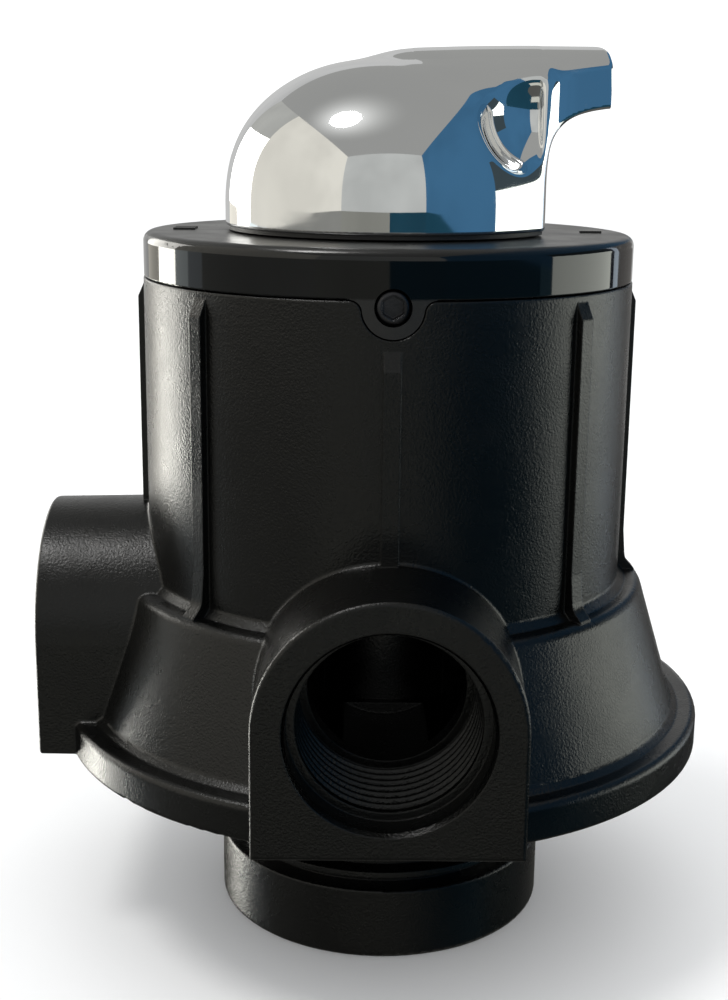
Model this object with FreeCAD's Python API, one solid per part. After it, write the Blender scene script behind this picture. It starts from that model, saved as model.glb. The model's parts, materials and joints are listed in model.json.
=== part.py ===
"""Manual multiport valve for a pressure tank: ported body, ceramic disc pair and lever handle.

Millimetres. +Z is the axis of the neck and of the handle, Z = 0 is the bottom of the neck.
The lever points to +X at rest. Ports look to -Y (inlet), +Y (outlet) and -X (drain).
"""
import FreeCAD, Part
import math
import os

V = FreeCAD.Vector
Z_AXIS = V(0, 0, 1)
CENTRE = V(0, 0, 0)

# ---------------------------------------------------------------- driving dimensions
# neck, with an eight-per-inch thread above a plain pilot
neck_r = 31.75
neck_bore_r = 25.5
neck_edge = 1.0
pilot_top = 13.7
neck_thread_root_r = 27.8
neck_thread_crest_r = 30.6
neck_thread_pitch = 3.175
neck_thread_turns = 5
neck_crest_width = 1.1
neck_flank = 0.45
tank_seal_seat_r = 29.4

# flange, skirt and upper body
flange_r = 61.3
flange_bottom = 35.8
flange_top = 42.5
flange_groove_in = 46.0
flange_groove_out = 56.5
flange_groove_depth = 4.2
skirt_foot_r = 56.2
skirt_top_r = 49.3
skirt_top = 66.8
body_r = 45.1
body_top = 127.0
spigot_r = 41.8
shoulder_z = 123.1

# stiffening ribs on the upper body
rib_count = 8
rib_width = 2.9
rib_r = 46.4
rib_top = 122.6
front_rib_top = 115.8
rib_slope = 3.6
rib_flare = 8.0

# pressure chamber and deck
chamber_r = 36.6
deck_top = 80.0
deck_thickness = 9.0
disc_seat_r = 34.3
disc_seat_height = 4.0
bonnet_thread_r = 38.4
bonnet_thread_pitch = 2.5
bonnet_thread_turns = 3
bonnet_thread_bottom = 118.6

# side ports, one-inch parallel pipe thread
port_face = 64.0
port_z = 57.4
port_thread_minor_r = 15.15
port_thread_major_r = 16.62
port_thread_pitch = 2.309
port_thread_turns = 7
port_mouth_r = 16.95
port_plain_depth = 5.2
port_passage_r = 13.6
boss_half_width = 22.1
boss_bottom = 36.2
boss_draft = 0.8
boss_root = 28.0
boss_fillet = 0.6
port_directions = {"front": -90, "back": 90, "left": 180}

# riser socket for a 1.05 in pipe
riser_bore_r = 13.4
riser_tube_r = 18.5
riser_tube_bottom = 1.5
riser_bore_top = 32.0
riser_passage_r = 9.0
riser_seal_seat_r = 16.2
riser_seal_seat_top = 10.6
duct_out_r = 39.0
duct_bottom = 46.0
duct_half_angle = 37.0
window_in_r = 14.5
window_out_r = 27.0
window_half_angle = 26.0

# disc pack
gasket_thickness = 1.2
disc_r = 34.0
disc_thickness = 5.0
moving_disc_r = 32.5
disc_gap = 0.05
pad_thickness = 1.6
rotor_thickness = 8.0
pin_r = 1.5
pin_orbit = 30.6
moving_disc_bottom = deck_top + gasket_thickness + disc_thickness + disc_gap
pad_bottom = moving_disc_bottom + disc_thickness
rotor_bottom = pad_bottom + pad_thickness
rotor_top = rotor_bottom + rotor_thickness

# bonnet and stem
bonnet_bottom = 112.5
bonnet_top = 126.8
bonnet_r = 36.4
bonnet_hub_r = 17.5
bonnet_skirt_bottom = 108.0
stem_r = 9.0
stem_clearance = 0.05
stem_collar_r = 16.5
stem_collar_bottom = 107.0
washer_thickness = 1.0
stem_square = 11.0
stem_square_bottom = 131.0
stem_top = 146.0
stem_tongue = 12.0
seal_section_r = 1.25
lower_seal_z = bonnet_bottom + 3.2
upper_seal_z = lower_seal_z + 4.4
bush_bottom = upper_seal_z + 2.6
bush_r = 11.6
bonnet_groove_r = 33.7
bonnet_groove_z = 113.6
bonnet_seal_section_r = 1.35

# top cover
cover_r = 45.0
cover_bottom = 123.3
cover_top = 131.3
cover_plate = 3.0
cover_skirt_in_r = 42.1
cover_hole_r = 13.0
ear_r = 5.0
ear_z = 122.1
ear_shoulder_r = 2.0
screw_head_r = 2.9
screw_hole_r = 3.05
screw_shank_r = 1.95
ear_angles = (-90, 90)
mark_height = 0.35
mark_length = 4.0
mark_width = 1.0

# handle
shell_base_z = 132.3
shell_r = 30.0
shell_wall = 2.6
shell_flat_x = 27.5
shell_flat_wall = 1.8
lever_tip_x = 38.9
lever_tip_z = 153.5
lever_top = 164.5
lever_root_z = 147.0
lever_tip_half_width = 8.9
lever_taper = 0.16
lever_crown_r = 15.0
cheek_half_width = 12.2
scoop_r = 11.1
scoop_place = (25.9, 22.2, 152.8)
scoop_end_x = 26.2
scoop_wall = 1.8
insert_bottom = 131.6
insert_rim_r = 29.3
insert_hub_r = 12.0
insert_hub_top = 148.0
insert_ring_top = 139.0
set_screw_z = 136.0
dome_outline = [
    (30.0, 136.0), (29.6, 141.2), (28.3, 146.3), (25.8, 150.9), (22.4, 154.8),
    (18.2, 157.7), (13.8, 159.9), (9.2, 161.2), (4.5, 161.8), (0.0, 161.9),
]

# detent
detent_orbit_r = 19.5
plunger_r = 2.4
plunger_length = 6.6
plunger_travel = 1.0
plunger_air = 0.12
detent_bore_r = 2.5
detent_boss_r = 4.4
detent_roof = 145.0
detent_rest_angle = -90
detent_step = 90
detent_positions = 3
spring_wire_r = 0.25
spring_coils = 5


# ---------------------------------------------------------------- geometry helpers
def rounded_wire(corners):
    """Closed wire in the XZ plane through (x, z, fillet radius) corners."""
    count = len(corners)
    starts, ends, bends = [], [], []
    for i in range(count):
        before = V(corners[i - 1][0], 0, corners[i - 1][1])
        here = V(corners[i][0], 0, corners[i][1])
        after = V(corners[(i + 1) % count][0], 0, corners[(i + 1) % count][1])
        radius = corners[i][2] if len(corners[i]) > 2 else 0
        if radius <= 0:
            starts.append(here)
            ends.append(here)
            bends.append(None)
            continue
        to_before = (before - here).normalize()
        to_after = (after - here).normalize()
        half = to_before.getAngle(to_after) / 2
        reach = radius / math.tan(half)
        middle = (to_before + to_after).normalize()
        centre = here + middle * (radius / math.sin(half))
        starts.append(here + to_before * reach)
        ends.append(here + to_after * reach)
        bends.append(centre - middle * radius)
    edges = []
    for i in range(count):
        if bends[i] is not None:
            edges.append(Part.Arc(starts[i], bends[i], ends[i]).toShape())
        following = starts[(i + 1) % count]
        if ends[i].distanceToPoint(following) > 1e-6:
            edges.append(Part.LineSegment(ends[i], following).toShape())
    return Part.Wire(edges)


def revolve(corners):
    """Solid of revolution about Z from (r, z, fillet radius) corners."""
    return Part.Face(rounded_wire(corners)).revolve(CENTRE, Z_AXIS, 360)


def cylinder(radius, bottom, top, x=0.0, y=0.0):
    return Part.makeCylinder(radius, top - bottom, V(x, y, bottom))


def ring(inner, outer, bottom, top):
    return cylinder(outer, bottom, top).cut(cylinder(inner, bottom - 1, top + 1))


def turned(shape, degrees):
    """Copy of a shape turned about Z."""
    copy = shape.copy()
    copy.rotate(CENTRE, Z_AXIS, degrees)
    return copy


def sector(inner, outer, bottom, top, middle, half_angle):
    """Part of a ring, half_angle to each side of the direction 'middle' (degrees)."""
    profile = [(inner, bottom), (outer, bottom), (outer, top), (inner, top)]
    face = Part.Face(rounded_wire(profile))
    face.rotate(CENTRE, Z_AXIS, middle - half_angle)
    return face.revolve(CENTRE, Z_AXIS, 2 * half_angle)


def prism_y(corners, y_from, y_to):
    """Outline in the XZ plane pushed along Y."""
    face = Part.Face(rounded_wire(corners))
    face.translate(V(0, y_from, 0))
    return face.extrude(V(0, y_to - y_from, 0))


def square_bar(side, bottom, top):
    return Part.makeBox(side, side, top - bottom, V(-side / 2, -side / 2, bottom))


def hexagon_bar(across_flats, bottom, top):
    corner = across_flats / math.sqrt(3)
    angles = [math.radians(60 * i) for i in range(6)]
    points = [V(corner * math.cos(a), corner * math.sin(a), bottom) for a in angles]
    return Part.Face(Part.makePolygon(points + points[:1])).extrude(V(0, 0, top - bottom))


def o_ring(centre_r, centre_z, section_r):
    return Part.makeTorus(centre_r, section_r, V(0, 0, centre_z))


def thread_ridges(root_r, crest_r, bottom, pitch, turns, crest_width, flank):
    """Ring-shaped ridges that stand for a thread, outward if crest_r is the larger radius."""
    ridges = []
    overlap = 0.4 if crest_r > root_r else -0.4
    for turn in range(turns):
        low = bottom + turn * pitch
        ridges.append(revolve([
            (root_r - overlap, low),
            (root_r, low),
            (crest_r, low + flank),
            (crest_r, low + flank + crest_width),
            (root_r, low + 2 * flank + crest_width),
            (root_r - overlap, low + 2 * flank + crest_width),
        ]))
    return ridges


def inside_corners(shape, bottom, top):
    """Edges between two heights where a solid's faces meet in a sharp inside corner."""
    found = []
    for edge in shape.Edges:
        point = edge.valueAt((edge.FirstParameter + edge.LastParameter) / 2)
        faces = shape.ancestorsOfType(edge, Part.Face)
        if len(faces) != 2 or not bottom < point.z < top:
            continue
        first, second = [f.normalAt(*f.Surface.parameter(point)) for f in faces]
        if first.getAngle(second) < math.radians(40):
            continue
        nearby = [point + (first - second) * 0.05, point + (second - first) * 0.05]
        ahead = point + (first + second).normalize() * 0.02
        material_beside = all(shape.isInside(p, 1e-5, False) for p in nearby)
        if material_beside and not shape.isInside(ahead, 1e-5, False):
            found.append(edge)
    return found


def lay_outward(shape, degrees):
    """Turn a shape built along +Z so that it looks outward, then in the given direction."""
    copy = shape.copy()
    copy.rotate(CENTRE, V(0, 1, 0), 90)
    return turned(copy, degrees)


# ---------------------------------------------------------------- valve body
def body_outside():
    """Neck, flange, skirt and upper cylinder turned in one profile."""
    return revolve([
        (0, 0),
        (neck_r, 0, neck_edge),
        (neck_r, pilot_top, 0.4),
        (neck_thread_root_r, pilot_top),
        (neck_thread_root_r, flange_bottom - 4.6),
        (tank_seal_seat_r, flange_bottom - 4.6),
        (tank_seal_seat_r, flange_bottom),
        (flange_r, flange_bottom, 0.8),
        (flange_r, flange_top, 1.3),
        (skirt_foot_r + 1.6, flange_top, 0.6),
        (skirt_foot_r + 0.3, flange_top + 1.0, 1.2),
        (skirt_top_r, skirt_top, 2.0),
        (body_r + 1.4, skirt_top, 0.4),
        (body_r, skirt_top + 1.4, 0.8),
        (body_r, shoulder_z, 0.3),
        (spigot_r, shoulder_z),
        (spigot_r, body_top, 0.4),
        (0, body_top),
    ])


def rib(angle, top):
    """One vertical rib whose foot sweeps out to the top edge of the skirt."""
    foot_r = skirt_top_r - 0.5
    bar = prism_y([
        (body_r - 3, skirt_top - 1),
        (foot_r, skirt_top - 1),
        (foot_r, skirt_top + 0.2, 0.3),
        (rib_r + 0.5, skirt_top + 2.2, 3.0),
        (rib_r, skirt_top + rib_flare),
        (rib_r, top - rib_slope, 1.0),
        (body_r - 0.3, top),
        (body_r - 3, top),
    ], -rib_width / 2, rib_width / 2)
    return turned(bar, angle)


def port_boss(direction):
    """D-shaped boss with a flat bottom, a little wider at its root."""
    outlines = []
    for reach, widen in ((port_face, 0.0), (boss_root, boss_draft)):
        half = boss_half_width + widen
        top = V(reach, 0, port_z + half)
        left = V(reach, -half, port_z)
        right = V(reach, half, port_z)
        low_left = V(reach, -half, boss_bottom)
        low_right = V(reach, half, boss_bottom)
        outlines.append(Part.Wire([
            Part.LineSegment(low_left, left).toShape(),
            Part.Arc(left, top, right).toShape(),
            Part.LineSegment(right, low_right).toShape(),
            Part.LineSegment(low_right, low_left).toShape(),
        ]))
    boss = Part.makeLoft(outlines, True, True)
    face_edges = [e for e in boss.Edges if all(abs(v.X - port_face) < 0.01 for v in e.Vertexes)]
    return turned(boss.makeFillet(0.7, face_edges), direction)


def port_bore(direction):
    """Mouth, plain lead-in, thread grooves and passage of one port."""
    inner_end = port_face - port_plain_depth - port_thread_turns * port_thread_pitch - 1.0
    minor = cylinder(port_thread_minor_r, inner_end, port_face + 1)
    lead_in = cylinder(port_thread_major_r, port_face - port_plain_depth, port_face + 1)
    mouth = Part.makeCone(port_thread_major_r, port_mouth_r + 0.4, 1.4, V(0, 0, port_face - 1))
    passage = cylinder(port_passage_r, riser_tube_r + 1.5, port_face)
    grooves = thread_ridges(
        port_thread_minor_r, port_thread_major_r, inner_end + 0.3,
        port_thread_pitch, port_thread_turns, 0.5, 0.62)
    bore = minor.fuse([lead_in, mouth, passage] + grooves)
    laid = lay_outward(bore, 0)
    laid.translate(V(0, 0, port_z))
    return turned(laid, direction)


def body_hollows():
    """Everything that water, the disc pack and the bonnet need taken out of the body."""
    hollows = [
        cylinder(chamber_r, deck_top + disc_seat_height, body_top + 1),
        cylinder(disc_seat_r, deck_top, deck_top + disc_seat_height + 1),
        ring(riser_tube_r, neck_bore_r, -1, duct_bottom - 4),
        cylinder(neck_bore_r, -1, riser_tube_bottom),
        cylinder(riser_seal_seat_r, riser_tube_bottom - 1, riser_seal_seat_top),
        cylinder(riser_bore_r, 0, riser_bore_top),
        cylinder(riser_passage_r, 0, deck_top + 1),
        ring(flange_groove_in, flange_groove_out, flange_bottom - 1,
             flange_bottom + flange_groove_depth),
    ]
    for direction in port_directions.values():
        hollows.append(port_bore(direction))
        hollows.append(sector(riser_tube_r, duct_out_r, duct_bottom, deck_top - deck_thickness,
                              direction, duct_half_angle))
    tank_side = 0
    hollows.append(sector(riser_tube_r, duct_out_r, duct_bottom - 5,
                          deck_top - deck_thickness, tank_side, duct_half_angle))
    for direction in list(port_directions.values()) + [tank_side]:
        hollows.append(sector(window_in_r, window_out_r, deck_top - deck_thickness - 1,
                              deck_top + 1, direction, window_half_angle))
    hollows += thread_ridges(chamber_r, bonnet_thread_r, bonnet_thread_bottom,
                             bonnet_thread_pitch, bonnet_thread_turns, 0.9, 0.7)
    return hollows


def ear_outline(grow):
    """Closed outline of a cover ear in the XZ plane, shoulders included."""
    radius = ear_r + grow
    shoulder = ear_shoulder_r - grow
    edge = cover_bottom - grow
    drop = edge - shoulder - ear_z
    offset = math.sqrt((radius + shoulder) ** 2 - drop ** 2)
    touch = V(offset, 0, ear_z + drop) - V(0, 0, ear_z)
    touch = touch.normalize() * radius + V(0, 0, ear_z)
    corner = V(offset, 0, edge)
    blend = math.radians(45) + math.atan2(-drop, offset) / 2
    bend = V(offset - shoulder * math.sin(blend), 0, ear_z + drop + shoulder * math.cos(blend))

    def mirror(p):
        return V(-p.x, 0, p.z)

    lid = V(offset, 0, cover_bottom + 3)
    return Part.Wire([
        Part.Arc(mirror(touch), V(0, 0, ear_z - radius), touch).toShape(),
        Part.Arc(touch, bend, corner).toShape(),
        Part.LineSegment(corner, lid).toShape(),
        Part.LineSegment(lid, mirror(lid)).toShape(),
        Part.LineSegment(mirror(lid), mirror(corner)).toShape(),
        Part.Arc(mirror(corner), mirror(bend), mirror(touch)).toShape(),
    ])


def ear_block(angle, grow, inner, outer):
    """An ear outline pushed through the wall between two radii, at one side of the body."""
    block = Part.Face(ear_outline(grow)).extrude(V(0, outer + 2, 0))
    shell = ring(inner, outer, ear_z - 12, cover_bottom + 6)
    return turned(block.common(shell), angle - 90)


def radial_cylinder(radius, r_from, r_to, z, angle):
    bar = lay_outward(cylinder(radius, r_from, r_to), 0)
    bar.translate(V(0, 0, z))
    return turned(bar, angle)


def make_valve_body():
    bosses = [port_boss(direction) for direction in port_directions.values()]
    body = body_outside().fuse(bosses).removeSplitter()
    body = body.makeFillet(boss_fillet, inside_corners(body, boss_bottom + 0.3, body_top))
    ribs = []
    for i in range(rib_count):
        angle = i * 360 / rib_count
        under_ear = any(abs((angle - ear + 180) % 360 - 180) < 1 for ear in ear_angles)
        ribs.append(rib(angle, front_rib_top if under_ear else rib_top))
    neck_thread = thread_ridges(
        neck_thread_root_r, neck_thread_crest_r, pilot_top + 1.5,
        neck_thread_pitch, neck_thread_turns, neck_crest_width, neck_flank)
    body = body.fuse(ribs + neck_thread)
    cuts = body_hollows()
    for angle in ear_angles:
        cuts.append(ear_block(angle, 0.25, spigot_r, cover_r + 2))
        cuts.append(radial_cylinder(screw_shank_r + 0.05, spigot_r - 2.9, spigot_r + 3, ear_z, angle))
    for x, y in pin_places():
        cuts.append(cylinder(pin_r + 0.05, deck_top - 3.2, deck_top + 1, x, y))
    return body.cut(cuts).removeSplitter()


# ---------------------------------------------------------------- disc pack
def pin_places():
    angles = [math.radians(45), math.radians(225)]
    return [(pin_orbit * math.cos(a), pin_orbit * math.sin(a)) for a in angles]


def disc_windows(bottom, top, inset):
    """The riser hole and the four kidney windows of the fixed disc and its gasket."""
    cuts = [cylinder(riser_passage_r, bottom - 1, top + 1)]
    for direction in (0, 90, 180, 270):
        cuts.append(sector(window_in_r - inset, window_out_r, bottom - 1, top + 1,
                           direction, window_half_angle))
    return cuts


def make_fixed_disc_gasket():
    top = deck_top + gasket_thickness
    gasket = cylinder(disc_r, deck_top, top)
    pins = [cylinder(pin_r + 0.05, deck_top - 1, top + 1, x, y) for x, y in pin_places()]
    return gasket.cut(disc_windows(deck_top, top, 0.0) + pins)


def make_fixed_disc():
    bottom = deck_top + gasket_thickness
    top = bottom + disc_thickness
    disc = cylinder(disc_r, bottom, top)
    pins = [cylinder(pin_r + 0.05, bottom - 1, bottom + 2.5, x, y) for x, y in pin_places()]
    return disc.cut(disc_windows(bottom, top, 0.0) + pins)


def make_disc_pins():
    length = 3.0 + gasket_thickness + 2.2
    return Part.Compound([cylinder(pin_r, deck_top - 3, deck_top - 3 + length, x, y)
                          for x, y in pin_places()])


def drive_notches(bottom, top):
    """Notches in the disc's rim that the rotor's lugs sit in."""
    return [sector(moving_disc_r - 4.0, moving_disc_r + 2, bottom, top, angle, 8)
            for angle in (120, 210, 300)]


def make_moving_disc():
    disc = cylinder(moving_disc_r, moving_disc_bottom, pad_bottom)
    feed = sector(window_in_r, moving_disc_r + 1, moving_disc_bottom - 1, pad_bottom + 1, 0,
                  window_half_angle)
    bridge_depth = 3.0
    bridge = cylinder(riser_passage_r, moving_disc_bottom - 1, moving_disc_bottom + bridge_depth)
    arm = sector(1.0, window_out_r, moving_disc_bottom - 1, moving_disc_bottom + bridge_depth, 90,
                 window_half_angle)
    return disc.cut([feed, bridge.fuse(arm)] + drive_notches(moving_disc_bottom - 1, pad_bottom + 1))


def make_rotor_pad():
    pad = cylinder(moving_disc_r - 1, pad_bottom, rotor_bottom)
    feed = sector(window_in_r, moving_disc_r + 1, pad_bottom - 1, rotor_bottom + 1, 0,
                  window_half_angle)
    return pad.cut([feed] + drive_notches(pad_bottom - 1, rotor_bottom + 1))


def make_drive_rotor():
    hub_top = stem_collar_bottom - 0.3
    rotor = cylinder(moving_disc_r, rotor_bottom, rotor_top).fuse([
        cylinder(13.0, rotor_bottom, hub_top)])
    lug_bottom = moving_disc_bottom + 1.0
    lugs = [sector(moving_disc_r - 3.9, moving_disc_r, lug_bottom, rotor_bottom + 1, angle, 7.4)
            for angle in (120, 210, 300)]
    rotor = rotor.fuse(lugs)
    feed = sector(window_in_r, moving_disc_r + 1, rotor_bottom - 1, rotor_top + 1, 0,
                  window_half_angle)
    pockets = [sector(15.5, moving_disc_r - 5, rotor_bottom + 2.5, rotor_top + 1, angle, 20)
               for angle in (90, 135, 180, 225, 270)]
    socket = square_bar(stem_tongue + 0.1, rotor_bottom + 2, hub_top + 1)
    return rotor.cut([feed, socket] + pockets)


# ---------------------------------------------------------------- stem and bonnet
def make_valve_stem():
    shaft = cylinder(stem_r, stem_collar_bottom, stem_square_bottom)
    collar_top = bonnet_bottom - washer_thickness
    collar = cylinder(stem_collar_r, stem_collar_bottom, collar_top)
    tongue = square_bar(stem_tongue, rotor_bottom + 2.2, stem_collar_bottom + 1)
    head = square_bar(stem_square, stem_square_bottom - 1, stem_top)
    head = head.common(Part.makeCone(stem_r, stem_r - 1.5, 18, V(0, 0, stem_square_bottom - 2)))
    tap = cylinder(2.1, stem_top - 12, stem_top + 1)
    return shaft.fuse([collar, tongue, head]).cut(tap)


def make_anti_friction_washer():
    return ring(stem_r + stem_clearance, stem_collar_r - 0.5,
                bonnet_bottom - washer_thickness, bonnet_bottom)


def stem_seal(z):
    return o_ring(stem_r + stem_clearance + seal_section_r, z, seal_section_r)


def make_bonnet_nut():
    nut = revolve([
        (0, bonnet_bottom),
        (bonnet_hub_r + 6.0, bonnet_bottom),
        (30.0, bonnet_skirt_bottom),
        (bonnet_r, bonnet_skirt_bottom, 0.5),
        (bonnet_r, bonnet_top, 0.5),
        (bonnet_hub_r + 12, bonnet_top),
        (bonnet_hub_r + 12, bonnet_top - 4),
        (bonnet_hub_r, bonnet_top - 4),
        (bonnet_hub_r, bonnet_top, 0.5),
        (0, bonnet_top),
    ])
    nut = nut.fuse(thread_ridges(bonnet_r, bonnet_thread_r - 0.15, bonnet_thread_bottom + 0.15,
                                 bonnet_thread_pitch, bonnet_thread_turns, 0.6, 0.7))
    cuts = [
        cylinder(stem_r + stem_clearance, bonnet_bottom - 5, bonnet_top + 1),
        cylinder(bush_r, bush_bottom, bonnet_top + 1),
        ring(bonnet_groove_r, bonnet_r + 1, bonnet_groove_z - 1.5, bonnet_groove_z + 1.5),
    ]
    for z in (lower_seal_z, upper_seal_z):
        cuts.append(ring(stem_r, bush_r, z - 1.4, z + 1.4))
    web_count = 6
    webs = []
    for i in range(web_count):
        web = Part.makeBox(12.6, 3.0, 4.0, V(bonnet_hub_r - 0.3, -1.5, bonnet_top - 4))
        webs.append(turned(web, 30 + i * 360 / web_count))
    return nut.fuse(webs).cut(cuts).removeSplitter()


def make_bonnet_seal():
    return o_ring(bonnet_groove_r + bonnet_seal_section_r + 0.02, bonnet_groove_z,
                  bonnet_seal_section_r)


def make_stem_bush():
    flange_height = 0.8
    sleeve = ring(stem_r + stem_clearance, bush_r - 0.05, bush_bottom, bonnet_top)
    lip = ring(stem_r + stem_clearance, bush_r - 0.05, bonnet_top, bonnet_top + flange_height)
    return sleeve.fuse(lip).removeSplitter()


# ---------------------------------------------------------------- top cover
def make_top_cover():
    cover = revolve([
        (cover_hole_r, cover_top - cover_plate),
        (cover_skirt_in_r, cover_top - cover_plate),
        (cover_skirt_in_r, cover_bottom),
        (cover_r, cover_bottom, 0.3),
        (cover_r, cover_top, 1.8),
        (cover_hole_r, cover_top),
    ])
    ears = [ear_block(angle, 0.0, cover_skirt_in_r, cover_r) for angle in ear_angles]
    cover = cover.fuse(ears)
    marks = [position_mark(i) for i in range(detent_positions)]
    cover = cover.fuse([m for group in marks for m in group])
    cuts = []
    for angle in ear_angles:
        cuts.append(radial_cylinder(screw_hole_r, cover_skirt_in_r - 3, cover_r + 3, ear_z, angle))
    for i in range(detent_positions):
        angle = math.radians(detent_rest_angle + i * detent_step)
        x = detent_orbit_r * math.cos(angle)
        y = detent_orbit_r * math.sin(angle)
        dimple_r = plunger_r + 0.4
        cuts.append(Part.makeSphere(dimple_r, V(x, y, cover_top + dimple_r - plunger_travel - 0.5)))
    return cover.cut(cuts).removeSplitter()


def position_mark(index):
    """Raised bars at one lever position: one bar, two bars or three bars."""
    bars = []
    for k in range(index + 1):
        side = (k - index / 2) * 2.2
        bars.append(turned(Part.makeBox(mark_length, mark_width, mark_height + 0.2,
                                        V(35.5, side - mark_width / 2, cover_top - 0.2)),
                           index * detent_step))
    return bars


def make_cover_screws():
    screws = []
    for angle in ear_angles:
        head_out = cover_r - 0.3
        head = cylinder(screw_head_r, cover_skirt_in_r + 0.1, head_out)
        rim = [e for e in head.Edges if e.BoundBox.ZMin > head_out - 0.01]
        head = head.makeFillet(0.8, rim)
        shank = cylinder(screw_shank_r, spigot_r - 2.6, cover_skirt_in_r + 1)
        hex_depth = 1.6
        socket = hexagon_bar(3.4, head_out - hex_depth, head_out + 1)
        screw = lay_outward(head.fuse(shank).cut(socket), 0)
        screw.translate(V(0, 0, ear_z))
        screws.append(turned(screw, angle))
    return Part.Compound(screws)


# ---------------------------------------------------------------- handle
def short_of(x):
    """Everything to the -X side of an upright plane."""
    return Part.makeBox(x + 100, 200, 400, V(-100, -100, -100))


def dome(shrink, bottom):
    """Dome of the handle, shrunk all round by a wall thickness."""
    scale = (shell_r - shrink) / shell_r
    height_scale = 1 - shrink / (dome_outline[-1][1] - shell_base_z)
    points = [V(r * scale, 0, shell_base_z + (z - shell_base_z) * height_scale)
              for r, z in dome_outline]
    crown = Part.BSplineCurve()
    crown.interpolate(Points=points, InitialTangent=V(0, 0, 1), FinalTangent=V(-1, 0, 0))
    foot = V(points[0].x, 0, bottom)
    axis_bottom = V(0, 0, bottom)
    wire = Part.Wire([
        Part.LineSegment(axis_bottom, foot).toShape(),
        Part.LineSegment(foot, points[0]).toShape(),
        crown.toShape(),
        Part.LineSegment(points[-1], axis_bottom).toShape(),
    ])
    return Part.Face(wire).revolve(CENTRE, Z_AXIS, 360)


def lever_side():
    """Side outline of the lever and the upright cheek that carries it."""
    return prism_y([
        (-12.0, shell_base_z),
        (shell_flat_x, shell_base_z),
        (shell_flat_x, lever_root_z, 2.0),
        (31.5, 152.0, 8.0),
        (lever_tip_x + 0.4, lever_tip_z, 0.6),
        (lever_tip_x, lever_top, 2.8),
        (14.0, lever_top - 0.2, 60.0),
        (-12.0, 157.5),
    ], -lever_crown_r, lever_crown_r)


def lever_crown():
    """Rounded top across the lever, straight-sided below the crown's centre."""
    crown_z = lever_top - lever_crown_r
    length = lever_tip_x + 16
    start = V(-14, 0, crown_z)
    rounded = Part.makeCylinder(lever_crown_r, length, start, V(1, 0, 0))
    below = Part.makeBox(length, 2 * lever_crown_r, crown_z - shell_base_z,
                         V(-14, -lever_crown_r, shell_base_z))
    return rounded.fuse(below)


def lever():
    """Stub lever, narrower towards its tip, on a wider cheek that ends at the flat."""
    height = lever_top + 1 - shell_base_z
    cheek = Part.makeBox(shell_flat_x + 14, 2 * cheek_half_width, height,
                         V(-14, -cheek_half_width, shell_base_z))
    start_x, end_x = 4.0, lever_tip_x + 1.0
    start_half = lever_tip_half_width + lever_taper * (lever_tip_x - start_x)
    end_half = lever_tip_half_width - lever_taper * (end_x - lever_tip_x)
    corners = [V(start_x, -start_half, shell_base_z), V(end_x, -end_half, shell_base_z),
               V(end_x, end_half, shell_base_z), V(start_x, start_half, shell_base_z)]
    bar = Part.Face(Part.makePolygon(corners + corners[:1])).extrude(V(0, 0, height))
    return cheek.fuse(bar).common(lever_side()).common(lever_crown())


def scoops(grow):
    """Ball-shaped hollows in both sides of the cheek."""
    x, y, z = scoop_place
    balls = [Part.makeSphere(scoop_r + grow, V(x, side * y, z)) for side in (-1, 1)]
    return [ball.common(short_of(scoop_end_x + grow)) for ball in balls]


def make_handle_shell():
    outside = dome(0, shell_base_z).common(short_of(shell_flat_x)).fuse(lever())
    outside = outside.cut(scoops(0))
    inside = dome(shell_wall, shell_base_z - 1).common(short_of(shell_flat_x - shell_flat_wall))
    inside = inside.cut(scoops(scoop_wall))
    screw_hole = radial_cylinder(2.05, 20, 34, set_screw_z, 90)
    return outside.cut([inside, screw_hole])


def detent_place():
    angle = math.radians(detent_rest_angle)
    return detent_orbit_r * math.cos(angle), detent_orbit_r * math.sin(angle)


def make_handle_insert():
    x, y = detent_place()
    plug_r = shell_r - shell_wall - 0.25
    floor_top = shell_base_z + 2.0
    beside_flat = short_of(shell_flat_x - shell_flat_wall - 0.1)
    rim = cylinder(insert_rim_r, insert_bottom, shell_base_z).common(short_of(shell_flat_x - 0.3))
    insert = rim.fuse([
        cylinder(plug_r, shell_base_z - 0.2, floor_top).common(beside_flat),
        ring(plug_r - 3.2, plug_r, floor_top - 0.5, insert_ring_top).common(beside_flat),
        cylinder(insert_hub_r, insert_bottom, insert_hub_top),
        cylinder(detent_boss_r, floor_top - 0.5, detent_roof + 1.2, x, y),
    ])
    spoke_count = 4
    for i in range(spoke_count):
        spoke = Part.makeBox(plug_r - insert_hub_r - 1, 2.4, insert_ring_top - floor_top + 0.5,
                             V(insert_hub_r - 0.5, -1.2, floor_top - 0.5))
        insert = insert.fuse(turned(spoke, 45 + i * 360 / spoke_count))
    cuts = [
        square_bar(stem_square + 0.1, insert_bottom - 1, stem_top + 0.2),
        cylinder(stem_r + 0.2, insert_bottom - 1, stem_square_bottom + 5.0),
        cylinder(2.7, insert_bottom, insert_hub_top + 1),
        cylinder(detent_bore_r, insert_bottom - 1, detent_roof, x, y),
        radial_cylinder(2.05, plug_r - 5, 34, set_screw_z, 90),
    ]
    return insert.cut(cuts).removeSplitter()


def make_handle_set_screw():
    outer = 29.4
    screw = cylinder(2.0, 23.6, outer).cut(hexagon_bar(2.0, outer - 2.2, outer + 1))
    laid = lay_outward(screw, 0)
    laid.translate(V(0, 0, set_screw_z))
    return turned(laid, 90)


def make_stem_screw_washer():
    return ring(2.3, 5.5, insert_hub_top, insert_hub_top + 1.0)


def make_stem_screw():
    seat = insert_hub_top + 1.0
    head = cylinder(4.2, seat, seat + 3.4)
    shank = cylinder(2.0, stem_top - 9, seat + 0.5)
    return head.fuse(shank).cut(hexagon_bar(3.0, seat + 1.2, seat + 4))


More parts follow.
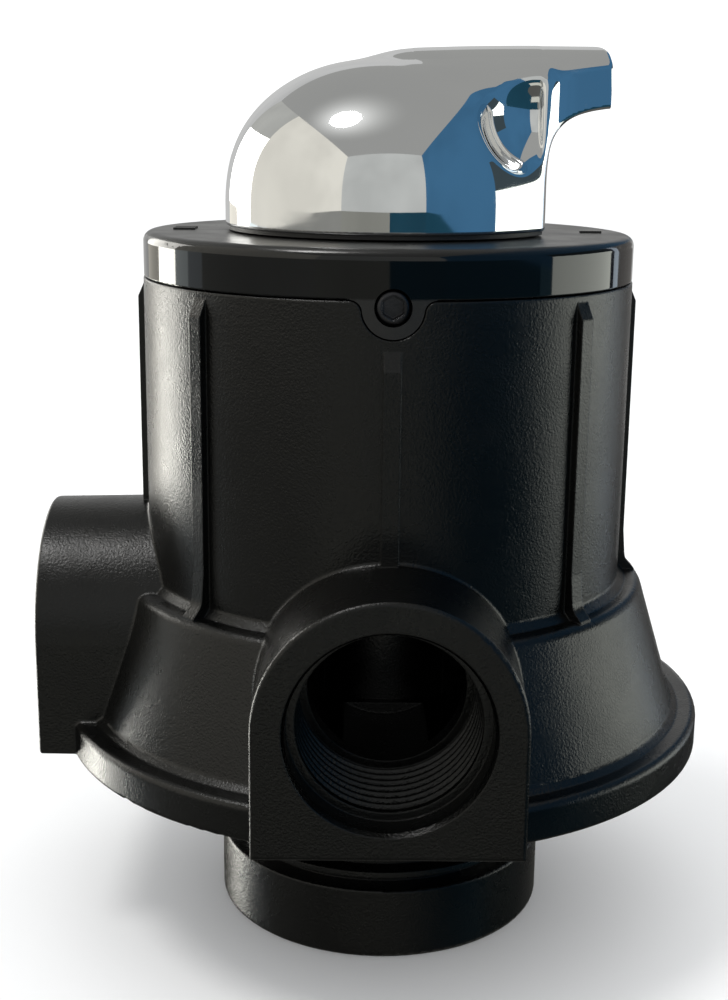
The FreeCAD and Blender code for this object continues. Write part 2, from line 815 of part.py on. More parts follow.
def make_detent_plunger():
    x, y = detent_place()
    low = cover_top + plunger_air
    nose = Part.makeSphere(plunger_r, V(x, y, low + plunger_r))
    pin = cylinder(plunger_r, low + plunger_r, low + plunger_length, x, y)
    return nose.fuse(pin).removeSplitter()


def make_detent_spring():
    """Stack of wire rings, one for each coil of the spring above the plunger."""
    x, y = detent_place()
    low = cover_top + plunger_air + plunger_length + spring_wire_r + 0.05
    high = detent_roof - spring_wire_r - 0.05
    coil_r = detent_bore_r - spring_wire_r - 0.1
    step = (high - low) / (spring_coils - 1)
    return Part.Compound([Part.makeTorus(coil_r, spring_wire_r, V(x, y, low + i * step))
                          for i in range(spring_coils)])


# ---------------------------------------------------------------- seals of the tank end
def make_riser_seal():
    section = 1.3
    return o_ring(riser_bore_r + section + 0.1, riser_seal_seat_top - section - 0.05, section)


def make_riser_seal_retainer():
    return ring(riser_bore_r + 0.15, riser_seal_seat_r - 0.05, riser_tube_bottom + 0.6,
                riser_seal_seat_top - 2.8)


def make_tank_seal():
    section = 2.2
    return o_ring(tank_seal_seat_r + section + 0.02, flange_bottom - section - 0.02, section)


# ---------------------------------------------------------------- write the pieces
pieces = {
    "valve_body": make_valve_body,
    "top_cover": make_top_cover,
    "cover_screws": make_cover_screws,
    "handle_shell": make_handle_shell,
    "handle_insert": make_handle_insert,
    "handle_set_screw": make_handle_set_screw,
    "stem_screw": make_stem_screw,
    "stem_screw_washer": make_stem_screw_washer,
    "detent_plunger": make_detent_plunger,
    "detent_spring": make_detent_spring,
    "valve_stem": make_valve_stem,
    "stem_bush": make_stem_bush,
    "stem_seal_upper": lambda: stem_seal(upper_seal_z),
    "stem_seal_lower": lambda: stem_seal(lower_seal_z),
    "anti_friction_washer": make_anti_friction_washer,
    "bonnet_nut": make_bonnet_nut,
    "bonnet_seal": make_bonnet_seal,
    "drive_rotor": make_drive_rotor,
    "rotor_pad": make_rotor_pad,
    "moving_disc": make_moving_disc,
    "fixed_disc": make_fixed_disc,
    "fixed_disc_gasket": make_fixed_disc_gasket,
    "disc_pins": make_disc_pins,
    "riser_seal": make_riser_seal,
    "riser_seal_retainer": make_riser_seal_retainer,
    "tank_seal": make_tank_seal,
}

os.makedirs("parts", exist_ok=True)
for name, make in pieces.items():
    shape = make()
    solids = shape.Solids
    valid = all(s.isValid() for s in solids)
    print(f"{name}: {len(solids)} solid(s), {shape.Volume / 1000:.2f} cm3, valid {valid}")
    shape.exportStep(f"parts/{name}.step")
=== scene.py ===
"""Looks of a manual multiport valve: black moulded body, gloss cap and a chrome lever handle."""

import json
import math

import bpy
import numpy as np
import openvdb
from mathutils import Matrix, Vector


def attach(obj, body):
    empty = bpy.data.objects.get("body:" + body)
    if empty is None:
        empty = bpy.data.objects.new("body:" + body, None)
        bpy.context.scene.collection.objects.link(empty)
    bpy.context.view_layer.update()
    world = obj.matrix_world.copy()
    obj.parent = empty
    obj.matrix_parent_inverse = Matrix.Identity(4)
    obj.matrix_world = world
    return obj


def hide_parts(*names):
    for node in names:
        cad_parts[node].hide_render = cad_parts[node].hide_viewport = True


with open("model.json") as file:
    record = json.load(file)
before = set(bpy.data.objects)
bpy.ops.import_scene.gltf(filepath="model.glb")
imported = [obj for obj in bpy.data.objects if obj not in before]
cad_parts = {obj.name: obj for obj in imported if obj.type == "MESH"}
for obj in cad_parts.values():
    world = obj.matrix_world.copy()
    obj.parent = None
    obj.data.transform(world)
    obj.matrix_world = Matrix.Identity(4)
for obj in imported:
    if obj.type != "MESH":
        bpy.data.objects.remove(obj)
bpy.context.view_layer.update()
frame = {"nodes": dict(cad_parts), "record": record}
nodes = frame["nodes"]
scene = bpy.context.scene

MM = 0.001


# ---------------------------------------------------------------- camera
def aim_camera(place, yaw, pitch, roll, lens):
    """Camera that looks along +Y, turned right by yaw, down by pitch and rolled (degrees)."""
    yaw, pitch, roll = map(math.radians, (yaw, pitch, roll))
    forward = Vector((math.sin(yaw) * math.cos(pitch), math.cos(yaw) * math.cos(pitch),
                      -math.sin(pitch)))
    level = Vector((math.cos(yaw), -math.sin(yaw), 0))
    upward = level.cross(forward)
    right = level * math.cos(roll) + upward * math.sin(roll)
    up = upward * math.cos(roll) - level * math.sin(roll)
    data = bpy.data.cameras.new("camera")
    data.lens = lens
    data.sensor_width = 36.0
    data.clip_start = 0.01
    data.clip_end = 50.0
    camera = bpy.data.objects.new("camera", data)
    scene.collection.objects.link(camera)
    rotation = Matrix((right, up, -forward)).transposed().to_4x4()
    camera.matrix_world = Matrix.Translation(place) @ rotation
    scene.camera = camera


aim_camera(Vector((-6.3, -282.6, 149.5)) * MM, 0.48, 13.85, 0.63, 54.13)


# ---------------------------------------------------------------- shader helpers
class Shader:
    """A material's node tree, with short names for the nodes that are used here."""

    def __init__(self, name):
        self.material = bpy.data.materials.new(name)
        self.material.use_nodes = True
        self.tree = self.material.node_tree
        self.bsdf = self.tree.nodes["Principled BSDF"]
        self.place = self.add("ShaderNodeTexCoord").outputs["Object"]

    def add(self, kind, **settings):
        node = self.tree.nodes.new(kind)
        for key, value in settings.items():
            setattr(node, key, value)
        return node

    def link(self, source, target):
        self.tree.links.new(source, target)

    def noise(self, scale, detail=2.0, rough=0.5, stretch=None, distortion=0.0):
        node = self.add("ShaderNodeTexNoise")
        node.inputs["Scale"].default_value = scale
        node.inputs["Detail"].default_value = detail
        node.inputs["Roughness"].default_value = rough
        node.inputs["Distortion"].default_value = distortion
        if stretch is None:
            self.link(self.place, node.inputs["Vector"])
        else:
            mapping = self.add("ShaderNodeMapping")
            mapping.inputs["Scale"].default_value = stretch
            self.link(self.place, mapping.inputs["Vector"])
            self.link(mapping.outputs["Vector"], node.inputs["Vector"])
        return node.outputs["Fac"]

    def voronoi(self, scale):
        node = self.add("ShaderNodeTexVoronoi", feature="SMOOTH_F1")
        node.inputs["Scale"].default_value = scale
        self.link(self.place, node.inputs["Vector"])
        return node.outputs["Distance"]

    def remap(self, value, low, high, to_low, to_high):
        node = self.add("ShaderNodeMapRange")
        for socket, number in zip(("From Min", "From Max", "To Min", "To Max"),
                                  (low, high, to_low, to_high)):
            node.inputs[socket].default_value = number
        self.link(value, node.inputs["Value"])
        return node.outputs["Result"]

    def math(self, operation, first, second):
        node = self.add("ShaderNodeMath", operation=operation)
        for socket, value in zip(node.inputs, (first, second)):
            if isinstance(value, (int, float)):
                socket.default_value = value
            else:
                self.link(value, socket)
        return node.outputs["Value"]

    def blend(self, share, first, second):
        """Mix of two colours, each a tuple or a socket, by the share of the second."""
        node = self.add("ShaderNodeMix", data_type="RGBA")
        self.link(share, node.inputs["Factor"])
        for socket, value in ((node.inputs["A"], first), (node.inputs["B"], second)):
            if isinstance(value, tuple):
                socket.default_value = (*value, 1.0)
            else:
                self.link(value, socket)
        return node.outputs["Result"]

    def axis(self, name):
        node = self.add("ShaderNodeSeparateXYZ")
        self.link(self.place, node.inputs["Vector"])
        return node.outputs[name]

    def bump(self, layers, edge_mm=0.0):
        """Stacked bump layers of (height socket, depth in metres), over rounded edges."""
        normal = None
        if edge_mm:
            edge = self.add("ShaderNodeBevel", samples=4)
            edge.inputs["Radius"].default_value = edge_mm * MM
            normal = edge.outputs["Normal"]
        for height, depth in layers:
            node = self.add("ShaderNodeBump")
            node.inputs["Strength"].default_value = 1.0
            node.inputs["Distance"].default_value = depth
            self.link(height, node.inputs["Height"])
            if normal is not None:
                self.link(normal, node.inputs["Normal"])
            normal = node.outputs["Normal"]
        self.link(normal, self.bsdf.inputs["Normal"])

    def set(self, **values):
        """Uniform values on the shader's own sockets, such as Specular_IOR_Level=0.4."""
        for key, value in values.items():
            self.bsdf.inputs[key.replace("_", " ")].default_value = value


def moulded_plastic(name, colour, gloss, grain_mm, grain_depth_mm, edge_mm=0.0):
    """Moulded plastic with a fine pitted grain and faint handling marks."""
    s = Shader(name)
    cloud = s.noise(38.0, 3.0, 0.55)
    dust = s.remap(s.noise(210.0, 5.0, 0.7), 0.58, 0.80, 0.0, 0.3)
    tint = tuple(c * 1.5 for c in colour)
    pale = tuple(c * 1.8 + 0.002 for c in colour)
    base = s.blend(s.remap(cloud, 0.35, 0.7, 0.0, 1.0), colour, tint)
    s.link(s.blend(dust, base, pale), s.bsdf.inputs["Base Color"])
    rough = s.remap(s.noise(90.0, 4.0, 0.6), 0.3, 0.7, gloss - 0.05, gloss + 0.06)
    s.link(rough, s.bsdf.inputs["Roughness"])
    grain = s.noise(1.0 / (grain_mm * MM), 2.0, 0.55)
    cells = s.voronoi(0.8 / (grain_mm * MM))
    s.bump([(cells, grain_depth_mm * 0.5 * MM), (grain, grain_depth_mm * MM)], edge_mm)
    s.set(Specular_IOR_Level=0.4)
    return s


# heights of the cap's polished band, in metres
BAND_FOOT, BAND_TOP = 0.1231, 0.1309


def cap_plastic():
    """Cap: polished side band, satin grained top."""
    s = Shader("cap_plastic")
    height = s.axis("Z")
    above = s.remap(height, BAND_TOP - 0.7 * MM, BAND_TOP, 0.0, 1.0)
    under = s.remap(height, BAND_FOOT, BAND_FOOT + 0.5 * MM, 1.0, 0.0)
    satin = s.math("MAXIMUM", above, under)
    rough_top = s.remap(s.noise(120.0, 4.0, 0.6), 0.3, 0.7, 0.27, 0.38)
    rough_band = s.remap(s.noise(60.0, 4.0, 0.6), 0.4, 0.75, 0.045, 0.10)
    change = s.add("ShaderNodeMix", data_type="FLOAT")
    s.link(satin, change.inputs["Factor"])
    s.link(rough_band, change.inputs["A"])
    s.link(rough_top, change.inputs["B"])
    s.link(change.outputs["Result"], s.bsdf.inputs["Roughness"])
    specks = s.remap(s.noise(420.0, 5.0, 0.75), 0.62, 0.8, 0.0, 0.5)
    base = s.blend(satin, (0.0009, 0.0011, 0.0013), (0.006, 0.006, 0.006))
    s.link(s.blend(s.math("MULTIPLY", specks, satin), base, (0.025, 0.025, 0.025)),
           s.bsdf.inputs["Base Color"])
    grain = s.math("MULTIPLY", s.noise(1500.0, 2.0, 0.55), satin)
    s.bump([(s.noise(45.0, 1.0), 0.05 * MM), (grain, 0.02 * MM)])
    s.set(Specular_IOR_Level=0.5)
    return s


def chrome():
    """Bright plate over moulded plastic: mirror with faint waviness, smears and dust."""
    s = Shader("chrome_plate")
    s.set(Metallic=1.0)
    smear = s.remap(s.noise(70.0, 6.0, 0.62, stretch=(1.0, 1.0, 2.2), distortion=0.6),
                    0.48, 0.78, 0.022, 0.085)
    dust = s.remap(s.noise(900.0, 3.0, 0.7), 0.68, 0.82, 0.0, 0.12)
    s.link(s.math("ADD", smear, dust), s.bsdf.inputs["Roughness"])
    s.link(s.blend(s.remap(s.noise(30.0, 2.0), 0.3, 0.7, 0.0, 1.0),
                   (0.80, 0.81, 0.82), (0.74, 0.75, 0.765)), s.bsdf.inputs["Base Color"])
    s.bump([(s.noise(60.0, 1.0), 0.006 * MM)])
    return s


def steel(name, colour, rough, turned=True, edge_mm=0.0):
    """Machined or blackened steel with fine tool marks."""
    s = Shader(name)
    s.set(Metallic=1.0)
    marks = s.noise(900.0, 3.0, 0.6, stretch=(1.0, 1.0, 8.0) if turned else None)
    s.link(s.remap(marks, 0.3, 0.7, rough - 0.07, rough + 0.1), s.bsdf.inputs["Roughness"])
    dull = tuple(c * 0.6 for c in colour)
    s.link(s.blend(s.remap(s.noise(160.0, 4.0), 0.45, 0.7, 0.0, 1.0), colour, dull),
           s.bsdf.inputs["Base Color"])
    s.bump([(marks, 0.008 * MM)], edge_mm)
    return s


def rubber(name, colour):
    """Moulded rubber with a dull, slightly mottled skin."""
    s = Shader(name)
    s.link(s.blend(s.remap(s.noise(150.0, 4.0), 0.4, 0.7, 0.0, 1.0), colour,
                   tuple(c * 1.8 for c in colour)), s.bsdf.inputs["Base Color"])
    s.link(s.remap(s.noise(300.0, 4.0), 0.3, 0.7, 0.5, 0.72), s.bsdf.inputs["Roughness"])
    s.bump([(s.noise(1200.0, 3.0), 0.015 * MM)])
    return s


def ceramic():
    """Lapped ceramic, almost smooth."""
    s = Shader("lapped_ceramic")
    s.link(s.blend(s.remap(s.noise(45.0, 3.0), 0.35, 0.7, 0.0, 1.0),
                   (0.80, 0.79, 0.75), (0.70, 0.68, 0.63)), s.bsdf.inputs["Base Color"])
    s.link(s.remap(s.noise(500.0, 3.0), 0.3, 0.7, 0.16, 0.3), s.bsdf.inputs["Roughness"])
    s.bump([(s.noise(1500.0, 2.0), 0.003 * MM)])
    return s


finishes = {
    "body_plastic": moulded_plastic("body_plastic", (0.0007, 0.0008, 0.0007), 0.27, 0.36, 0.062,
                                    edge_mm=0.4),
    "cover_plastic": cap_plastic(),
    "dark_steel": steel("blackened_steel", (0.06, 0.06, 0.065), 0.30, edge_mm=0.5),
    "handle_chrome": chrome(),
    "insert_plastic": moulded_plastic("insert_plastic", (0.008, 0.008, 0.008), 0.42, 0.6, 0.02),
    "plain_steel": steel("machined_steel", (0.62, 0.62, 0.63), 0.28),
    "spring_steel": steel("spring_wire", (0.55, 0.55, 0.56), 0.3, turned=False),
    "stem_plastic": moulded_plastic("stem_plastic", (0.07, 0.07, 0.07), 0.45, 0.6, 0.02),
    "bush_plastic": moulded_plastic("bush_plastic", (0.62, 0.60, 0.54), 0.42, 0.8, 0.01),
    "seal_rubber": rubber("seal_rubber", (0.012, 0.012, 0.012)),
    "bonnet_plastic": moulded_plastic("bonnet_plastic", (0.03, 0.03, 0.03), 0.45, 0.7, 0.03),
    "pad_rubber": rubber("pad_rubber", (0.022, 0.022, 0.022)),
    "disc_ceramic": ceramic(),
}

slot_of = {row["node"]: row["material_slot"] for row in frame["record"]["subparts"]}
for name, node in nodes.items():
    material = finishes[slot_of[name]].material
    for i in range(max(1, len(node.data.materials))):
        if i < len(node.data.materials):
            node.data.materials[i] = material
        else:
            node.data.materials.append(material)


# ---------------------------------------------------------------- handle shell
# in millimetres, in the frame's own axes
DOME_BASE = 132.3
DOME_CENTRE = 136.0
# radius of the dome's outline as a cosine series of twice the angle above its centre
DOME_WAVES = (28.45, 2.12, -0.41, -0.08, -0.08)
DOME_WALL = 2.6
FLAT_X = 27.5
FLAT_WALL = 1.8
LEVER_TIP = 38.9
LEVER_TIP_HALF = 8.9
LEVER_TAPER = 0.16
LEVER_TOP = 164.4
# the top line falls away behind these places, by these factors of the square of the distance
TOP_FALL, TOP_FALL_X = 0.0009, 30
REAR_FALL, REAR_FALL_X = 0.02, 4
CROWN_R = 15.0
CROWN_EDGE_R = 1.0
LEVER_EDGE_R = 0.6
LEVER_BACK_X = 4.0
NOSE_R = 2.6
TIP_LEAN, TIP_LEAN_Z = 0.05, 161.0
# the lever's underside droops towards its root
UNDER_Z, UNDER_DROOP, UNDER_ROOT_X, UNDER_LENGTH = 153.95, 5.5, 27.6, 4.6
CHEEK_HALF = 12.2
CHEEK_EDGE_R = 1.2
CHEEK_BACK_X = -14.0
# blends are tight at the crown and widen over this depth below it
BLEND_START, BLEND_DEPTH = 2.2, 4.0
SCOOP_PLACE = (25.9, 22.2, 152.8)
SCOOP_R = 11.1
SCOOP_END = 26.2
SCOOP_WALL = 1.8
SCOOP_END_R = 0.6
SCOOP_RIM_R = 1.2
BASE_RIM_R = 0.5
INSIDE_RIM_R = 0.3
SET_SCREW_Z = 136.0
SET_SCREW_HOLE_R = 2.05
SET_SCREW_HOLE_START = 10.0
HOLE_RIM_R = 0.25


def rounded_and(first, second, radius):
    """Intersection of two distance fields with a rounded outside edge."""
    outside = np.hypot(np.maximum(first + radius, 0), np.maximum(second + radius, 0))
    return np.minimum(np.maximum(first, second), -radius) + outside


def soft_or(first, second, reach):
    """Union of two distance fields with a smooth hollow blend."""
    near = np.maximum(reach - np.abs(first - second), 0) / reach
    return np.minimum(first, second) - near ** 3 * reach / 6


def dome_field(x, y, z):
    """Dome of the handle: upright below its centre, a flattened half-ball above it."""
    out = np.hypot(x, y)
    up = np.maximum(z - DOME_CENTRE, 0)
    angle = np.arctan2(up, out)
    radius = sum(w * np.cos(2 * k * angle) for k, w in enumerate(DOME_WAVES))
    slope = -sum(2 * k * w * np.sin(2 * k * angle) for k, w in enumerate(DOME_WAVES)) / radius
    return (np.hypot(out, up) - radius) / np.sqrt(1 + slope ** 2)


def outside_field(x, y, z):
    """Dome, the cheek that ends at an upright flat, and the tapered stub lever."""
    across = np.abs(y)
    top = (LEVER_TOP - TOP_FALL * np.maximum(TOP_FALL_X - x, 0) ** 2
           - REAR_FALL * np.maximum(REAR_FALL_X - x, 0) ** 2)
    crown = np.hypot(y, np.maximum(z - top + CROWN_R, 0)) - CROWN_R
    below = np.clip((top - BLEND_START - z) / BLEND_DEPTH, 0.02, 1)
    cheek = rounded_and(across - CHEEK_HALF, crown, CHEEK_EDGE_R)
    cheek = np.maximum(cheek, CHEEK_BACK_X - x)
    core = soft_or(dome_field(x, y, z), cheek, 1.5 + 5.5 * below)
    core = rounded_and(core, x - FLAT_X, CHEEK_EDGE_R)
    side = (across - LEVER_TIP_HALF - LEVER_TAPER * (LEVER_TIP - x)) / math.hypot(1, LEVER_TAPER)
    droop = UNDER_DROOP * np.exp(-(x - UNDER_ROOT_X) / UNDER_LENGTH)
    under = (UNDER_Z - droop - z) / np.sqrt(1 + (droop / UNDER_LENGTH) ** 2)
    tip = x - LEVER_TIP - TIP_LEAN * (TIP_LEAN_Z - z)
    nose = np.hypot(np.maximum(x - (LEVER_TIP - NOSE_R), 0),
                    np.maximum(z - (top - NOSE_R), 0)) - NOSE_R
    bar = rounded_and(side, under, LEVER_EDGE_R)
    bar = rounded_and(bar, tip, LEVER_EDGE_R)
    bar = rounded_and(bar, crown, CROWN_EDGE_R)
    bar = np.maximum(np.maximum(bar, nose), LEVER_BACK_X - x)
    return soft_or(core, bar, 0.3 + 6.5 * below)


def shell_field(x, y, z):
    """The whole hollow shell, with a scoop in each cheek and its set screw hole at the back."""
    place_x, place_y, place_z = SCOOP_PLACE
    ball = np.sqrt((x - place_x) ** 2 + (np.abs(y) - place_y) ** 2 + (z - place_z) ** 2)
    scoop = rounded_and(ball - SCOOP_R, x - SCOOP_END, SCOOP_END_R)
    solid = rounded_and(outside_field(x, y, z), -scoop, SCOOP_RIM_R)
    solid = rounded_and(solid, DOME_BASE - z, BASE_RIM_R)
    inside = np.maximum(dome_field(x, y, z) + DOME_WALL, x - FLAT_X + FLAT_WALL)
    inside = np.maximum(inside, SCOOP_WALL - scoop)
    solid = rounded_and(solid, -inside, INSIDE_RIM_R)
    hole = np.hypot(x, z - SET_SCREW_Z) - SET_SCREW_HOLE_R
    hole = np.maximum(hole, SET_SCREW_HOLE_START - y)
    return rounded_and(solid, -hole, HOLE_RIM_R)


DRAW_ROUNDS = 4


def field_slope(field, points, step=0.02):
    """Slope of a distance field at each point, from central differences."""
    slope = np.empty_like(points)
    for k in range(3):
        ahead, behind = points.copy(), points.copy()
        ahead[:, k] += step
        behind[:, k] -= step
        slope[:, k] = (field(*ahead.T) - field(*behind.T)) / (2 * step)
    return slope


def mesh_from_field(name, field, low, high, cell):
    """Fine quad mesh of a distance field, its vertices drawn onto the exact surface."""
    counts = [int(math.ceil((h - l) / cell)) + 1 for l, h in zip(low, high)]
    axes = [l + cell * np.arange(n) for l, n in zip(low, counts)]
    values = field(*np.meshgrid(*axes, indexing="ij")).astype(np.float32)
    grid = openvdb.FloatGrid(background=3 * cell)
    grid.copyFromArray(np.clip(values, -3 * cell, 3 * cell))
    points, quads = grid.convertToQuads(isovalue=0)
    points = points.astype(float) * cell + np.array(low)
    for _ in range(DRAW_ROUNDS):
        slope = field_slope(field, points)
        size = np.maximum((slope ** 2).sum(1, keepdims=True), 0.05)
        move = field(*points.T)[:, None] * slope / size
        points -= np.clip(move, -0.5 * cell, 0.5 * cell)
    normals = field_slope(field, points)
    normals /= np.linalg.norm(normals, axis=1, keepdims=True)
    mesh = bpy.data.meshes.new(name)
    mesh.from_pydata((points * MM).tolist(), [], quads[:, ::-1].tolist())
    mesh.update()
    first = mesh.polygons[0]
    if first.normal.dot(Vector(normals[first.vertices[0]])) < 0:
        mesh.flip_normals()
    mesh.shade_smooth()
    mesh.normals_split_custom_set_from_vertices(normals.tolist())
    piece = bpy.data.objects.new(name, mesh)
    scene.collection.objects.link(piece)
    return piece


SHELL_LOW, SHELL_HIGH = (-32.0, -32.0, 130.6), (42.0, 32.0, 167.0)
CELL = 0.36
shell = mesh_from_field("handle_shell_chromed", shell_field, SHELL_LOW, SHELL_HIGH, CELL)
shell.data.materials.append(finishes["handle_chrome"].material)
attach(shell, "handle")
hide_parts("handle_shell")


# ---------------------------------------------------------------- studio
def emission(name, colour, strength=1.0):
    """Softly uneven glowing paint for the cards."""
    s = Shader(name)
    s.tree.nodes.remove(s.bsdf)
    glow = s.add("ShaderNodeEmission")
    glow.inputs["Strength"].default_value = strength
    share = s.remap(s.noise(1.1, 2.0, 0.5), 0.35, 0.65, 0.0, 1.0)
    s.link(s.blend(share, tuple(c * 0.93 for c in colour), tuple(c * 1.06 for c in colour)),
           glow.inputs["Color"])
    s.link(glow.outputs["Emission"], s.tree.nodes["Material Output"].inputs["Surface"])
    return s


def halo_material(name, centre, reach, inner, outer):
    """Glow that fades from one colour to another with the distance from a point."""
    s = Shader(name)
    s.tree.nodes.remove(s.bsdf)
    away = s.add("ShaderNodeVectorMath", operation="DISTANCE")
    s.link(s.place, away.inputs[0])
    away.inputs[1].default_value = centre
    share = s.remap(away.outputs["Value"], 0.0, reach, 1.0, 0.0)
    share = s.math("POWER", share, 2.2)
    glow = s.add("ShaderNodeEmission")
    s.link(s.blend(share, outer, inner), glow.inputs["Color"])
    s.link(glow.outputs["Emission"], s.tree.nodes["Material Output"].inputs["Surface"])
    return s


def card(name, corners, look):
    """Studio card that only shows in reflections."""
    mesh = bpy.data.meshes.new(name)
    mesh.from_pydata(corners, [], [tuple(range(len(corners)))])
    mesh.materials.append(look.material)
    panel = bpy.data.objects.new(name, mesh)
    scene.collection.objects.link(panel)
    panel.visible_camera = False
    panel.visible_diffuse = False
    panel.visible_shadow = False
    panel.visible_transmission = False


# the room that the bright parts reflect, in metres
LEFT, RIGHT, FRONT, BACK = -1.17, 0.80, -1.8, 1.9
CEILING, SILL, GROUND = 1.5, 0.06, -0.7
DARK_START, FRONT_FOOT = -0.01, -0.36
WINDOW_NEAR, WINDOW_TOP = 0.45, 0.80
OPENING_NEAR, OPENING_FAR, STRIP_NEAR, STRIP_FAR = -0.20, 0.45, 0.52, 0.64
OPENING_FOOT, OPENING_TOP = -0.25, 0.48
LOW_LIGHT_FOOT, LIGHT_FOOT, LIGHT_TOP = -0.20, -0.02, 0.23


def wall_card(name, start, end, low, high, colour, strength=1.0):
    """Upright card between two floor points."""
    card(name, [(*start, low), (*end, low), (*end, high), (*start, high)],
         emission(name, colour, strength))


def level_card(name, z, look):
    """Level card that spans the whole room."""
    card(name, [(LEFT, FRONT, z), (RIGHT, FRONT, z), (RIGHT, BACK, z), (LEFT, BACK, z)], look)


lamp_way = Vector((-0.387, -0.179, 0.905))
lamp_target = Vector((-0.008, -0.025, 0.151))
lamp_spot = lamp_target + lamp_way * ((CEILING - lamp_target.z) / lamp_way.z)

level_card("card_ceiling", CEILING,
           halo_material("card_ceiling", lamp_spot, 0.85, (1.5, 1.5, 1.45), (0.375, 0.375, 0.36)))
level_card("card_ground", GROUND, emission("card_ground", (0.11, 0.11, 0.10)))
# front wall: pale, then darker and part blue, then a pale foot
wall_card("card_front", (LEFT, FRONT), (RIGHT, FRONT), SILL, CEILING, (0.56, 0.57, 0.55))
wall_card("card_front_low", (LEFT, FRONT), (DARK_START, FRONT), FRONT_FOOT, SILL,
          (0.27, 0.27, 0.24))
wall_card("card_front_dark", (DARK_START, FRONT), (RIGHT, FRONT), FRONT_FOOT, SILL,
          (0.014, 0.055, 0.085))
wall_card("card_front_foot", (LEFT, FRONT), (RIGHT, FRONT), GROUND, FRONT_FOOT, (0.66, 0.66, 0.58))
# left wall with a window towards the back
wall_card("card_left", (LEFT, WINDOW_NEAR), (LEFT, FRONT), SILL, CEILING, (0.86, 0.83, 0.74))
wall_card("card_left_low", (LEFT, 0.05), (LEFT, FRONT), GROUND, SILL, (0.27, 0.27, 0.25))
wall_card("card_left_step", (LEFT, 0.26), (LEFT, 0.05), GROUND, SILL, (0.50, 0.54, 0.56))
wall_card("card_left_curtain", (LEFT, 0.50), (LEFT, 0.26), GROUND, SILL, (1.1, 1.2, 1.2))
wall_card("card_window_low", (LEFT, 1.00), (LEFT, 0.50), GROUND, SILL, (1.0, 0.98, 0.90), 12.0)
wall_card("card_window", (LEFT, BACK), (LEFT, WINDOW_NEAR), SILL, WINDOW_TOP,
          (1.0, 0.98, 0.92), 5.0)
wall_card("card_left_far", (LEFT, BACK), (LEFT, 1.00), GROUND, SILL, (1.05, 1.0, 0.88))
wall_card("card_window_top", (LEFT, BACK), (LEFT, WINDOW_NEAR), WINDOW_TOP, CEILING,
          (0.50, 0.50, 0.47))
# right wall: blue, then a bright opening, then dark
wall_card("card_right", (RIGHT, FRONT), (RIGHT, OPENING_NEAR), SILL, CEILING, (0.055, 0.16, 0.29))
wall_card("card_right_low", (RIGHT, FRONT), (RIGHT, -0.30), GROUND, SILL, (0.014, 0.060, 0.095))
wall_card("card_right_edge", (RIGHT, -0.30), (RIGHT, OPENING_NEAR), GROUND, SILL,
          (0.08, 0.18, 0.24))
wall_card("card_right_light", (RIGHT, OPENING_NEAR), (RIGHT, OPENING_FAR), LIGHT_FOOT, LIGHT_TOP,
          (1.0, 1.04, 0.95), 2.5)
wall_card("card_right_light_low", (RIGHT, OPENING_NEAR), (RIGHT, OPENING_FAR),
          LOW_LIGHT_FOOT, LIGHT_FOOT, (1.0, 1.06, 1.0), 1.3)
wall_card("card_right_under", (RIGHT, OPENING_NEAR), (RIGHT, OPENING_FAR), GROUND, LOW_LIGHT_FOOT,
          (0.03, 0.04, 0.04))
wall_card("card_right_shade", (RIGHT, OPENING_NEAR), (RIGHT, OPENING_FAR), LIGHT_TOP, OPENING_TOP,
          (0.05, 0.07, 0.08))
wall_card("card_right_gap", (RIGHT, OPENING_FAR), (RIGHT, STRIP_NEAR), OPENING_FOOT, OPENING_TOP,
          (0.05, 0.06, 0.08))
wall_card("card_right_strip", (RIGHT, STRIP_NEAR), (RIGHT, STRIP_FAR), OPENING_FOOT, OPENING_TOP,
          (0.90, 1.05, 1.2), 1.4)
wall_card("card_right_far", (RIGHT, STRIP_FAR), (RIGHT, BACK), OPENING_FOOT, OPENING_TOP,
          (0.24, 0.23, 0.22))
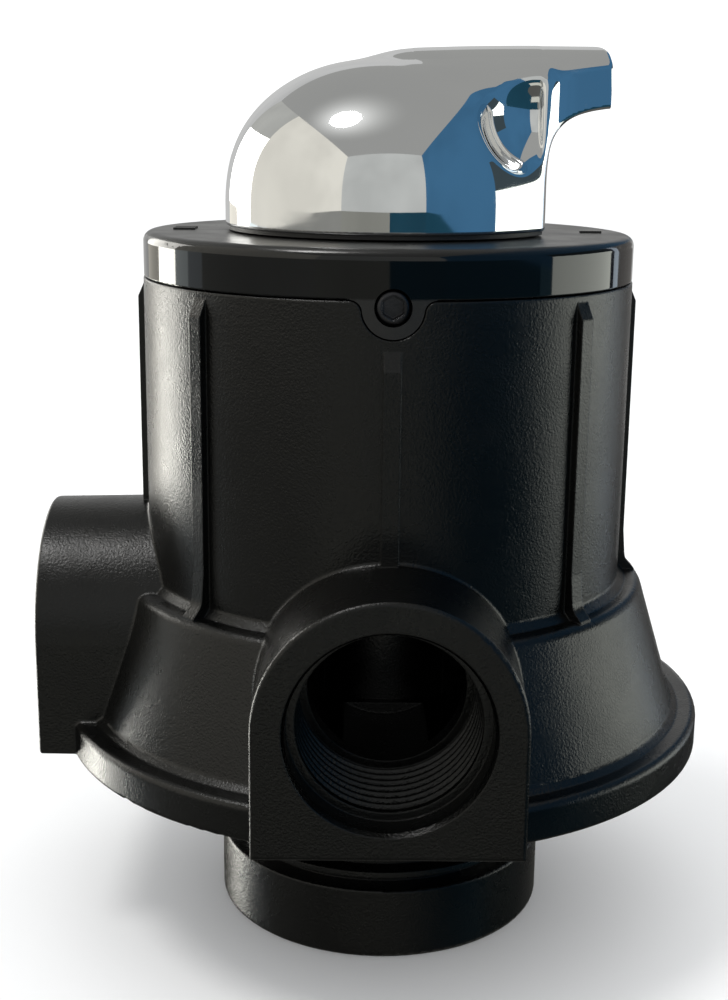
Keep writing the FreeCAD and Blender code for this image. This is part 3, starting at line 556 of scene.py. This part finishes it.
wall_card("card_right_far_low", (RIGHT, OPENING_FAR), (RIGHT, BACK), GROUND, OPENING_FOOT,
          (0.05, 0.05, 0.05))
wall_card("card_right_top", (RIGHT, OPENING_NEAR), (RIGHT, BACK), OPENING_TOP, CEILING,
          (0.055, 0.16, 0.29))
wall_card("card_back", (LEFT, BACK), (RIGHT, BACK), GROUND, CEILING, (0.60, 0.60, 0.59))


def area_light(name, place, target, diameter, power, colour):
    """Round soft lamp that looks at its target."""
    data = bpy.data.lights.new(name, "AREA")
    data.shape = "DISK"
    data.size = diameter
    data.energy = power
    data.color = colour
    light = bpy.data.objects.new(name, data)
    scene.collection.objects.link(light)
    light.location = place
    light.rotation_mode = "QUATERNION"
    light.rotation_quaternion = (Vector(target) - Vector(place)).to_track_quat("-Z", "Y")
    light.visible_camera = False


LAMP_REACH, LAMP_WIDTH, LAMP_POWER = 1.35, 0.40, 6.0
area_light("lamp", lamp_target + lamp_way * LAMP_REACH, lamp_target, LAMP_WIDTH, LAMP_POWER,
           (1.0, 0.99, 0.97))

FLOOR_R = 9.0
FLOOR_CORNERS = 64
floor_mesh = bpy.data.meshes.new("floor")
floor_mesh.from_pydata([(FLOOR_R * math.cos(a), FLOOR_R * math.sin(a), 0)
                        for a in np.linspace(0, 2 * math.pi, FLOOR_CORNERS, endpoint=False)], [],
                       [tuple(range(FLOOR_CORNERS))])
floor = bpy.data.objects.new("floor", floor_mesh)
scene.collection.objects.link(floor)
paper = Shader("floor_paper")
paper.link(paper.blend(paper.noise(6.0, 3.0), (0.80, 0.80, 0.80), (0.84, 0.84, 0.84)),
           paper.bsdf.inputs["Base Color"])
paper.set(Roughness=0.9, Specular_IOR_Level=0.2)
floor_mesh.materials.append(paper.material)
floor.visible_glossy = False

world = bpy.data.worlds.new("studio")
scene.world = world
world.use_nodes = True
world.node_tree.nodes["Background"].inputs["Color"].default_value = (0.93, 0.94, 0.95, 1.0)
world.node_tree.nodes["Background"].inputs["Strength"].default_value = 1.35

scene.view_settings.view_transform = "Standard"
scene.view_settings.look = "None"
